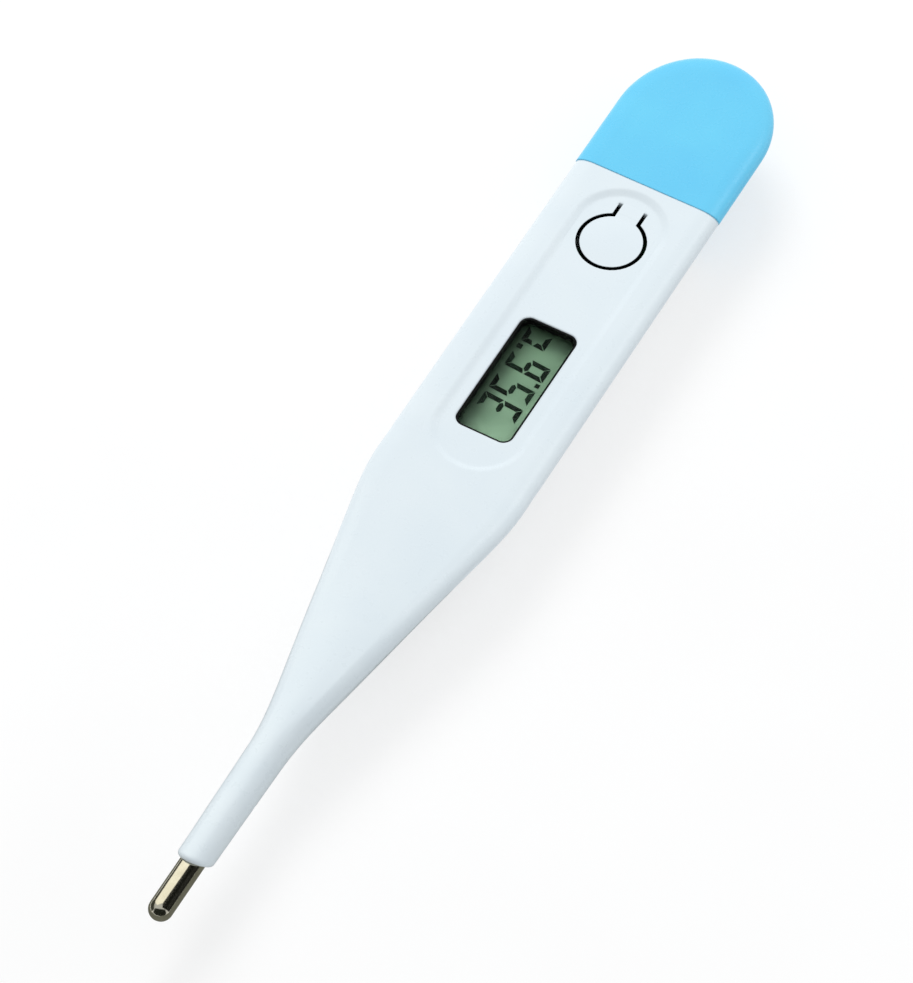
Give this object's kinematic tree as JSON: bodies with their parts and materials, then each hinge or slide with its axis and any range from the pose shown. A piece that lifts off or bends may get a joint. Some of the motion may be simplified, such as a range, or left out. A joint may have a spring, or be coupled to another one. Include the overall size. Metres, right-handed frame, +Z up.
{
  "type": "digital clinical thermometer",
  "caption": "Slim digital clinical thermometer with metal probe tip, display window, bending push button and a pull-off battery cover.",
  "frame": {"origin": "under the middle of the overall length, on the surface it lies on", "axes": "+Y from the metal tip to the battery cover, +X across the body, +Z up through the display"},
  "size_m": [0.0176, 0.124, 0.0091],
  "materials": {
    "white_plastic": "glossy white moulded ABS",
    "blue_plastic": "satin sky-blue moulded ABS",
    "black_plastic": "black moulded frame",
    "clear_plastic": "clear acrylic",
    "polariser_film": "grey-green film",
    "display_glass": "clear glass",
    "display_ink": "dark display bars",
    "reflector_film": "grey-green reflective film",
    "holder_plastic": "white moulded nylon",
    "grey_rubber": "striped conductive silicone",
    "board_laminate": "green glass-epoxy board",
    "black_resin": "black epoxy over the chip",
    "resistor_black": "black chip resistor",
    "capacitor_tan": "tan ceramic chip",
    "key_rubber": "grey silicone rubber",
    "carbon": "black conductive rubber",
    "foam": "adhesive foam ring",
    "brass": "rolled brass",
    "ceramic": "silvered ceramic",
    "spring_steel": "plated spring pin",
    "cell_steel": "nickel-plated steel",
    "seal_nylon": "green nylon gasket",
    "tip_steel": "polished stainless steel",
    "tip_resin": "thermally conductive epoxy",
    "bead_glass": "glass-coated thermistor",
    "lead_insulation": "insulated thin wire",
    "solder": "solder"
  },
  "bodies": {
    "casing_body": {"casing": "white_plastic", "window_bezel": "black_plastic", "window_lens": "clear_plastic", "probe_tip": "tip_steel", "tip_resin": "tip_resin", "thermistor_bead": "bead_glass", "thermistor_leads": "lead_insulation"},
    "button_body": {"power_button": "white_plastic"},
    "carrier_body": {"circuit_carrier": "holder_plastic", "circuit_board": "board_laminate", "lcd_holder": "holder_plastic", "lcd_front_polariser": "polariser_film", "lcd_front_glass": "display_glass", "lcd_characters": "display_ink", "lcd_rear_glass": "display_glass", "lcd_rear_polariser": "reflector_film", "zebra_strip": "grey_rubber", "chip_blob": "black_resin", "chip_resistors": "resistor_black", "chip_capacitors": "capacitor_tan", "rubber_key": "key_rubber", "carbon_pill": "carbon", "buzzer_foam_ring": "foam", "buzzer_plate": "brass", "buzzer_ceramic": "ceramic", "buzzer_pins": "spring_steel", "battery_contact_positive": "spring_steel", "battery_contact_negative": "spring_steel", "cell_can": "cell_steel", "cell_seal": "seal_nylon", "cell_cap": "cell_steel", "solder_joints": "solder"},
    "cover_body": {"battery_cover": "blue_plastic"}
  },
  "joints": [
    {"name": "button_press", "type": "hinge", "parent": "casing_body", "child": "button_body", "pos_m": [0, 0.03774, 0.00825], "axis": [1, 0, 0], "range_deg": [0, 4], "stiffness_Nm_per_rad": 0.05, "deforming": ["rubber_key"]},
    {"name": "circuit_slide", "type": "slide", "parent": "casing_body", "child": "carrier_body", "axis": [0, 1, 0], "range_m": [0, 0.008], "deforming": ["thermistor_leads"]},
    {"name": "cover_slide", "type": "slide", "parent": "carrier_body", "child": "cover_body", "axis": [0, 1, 0], "range_m": [0, 0.03]}
  ]
}
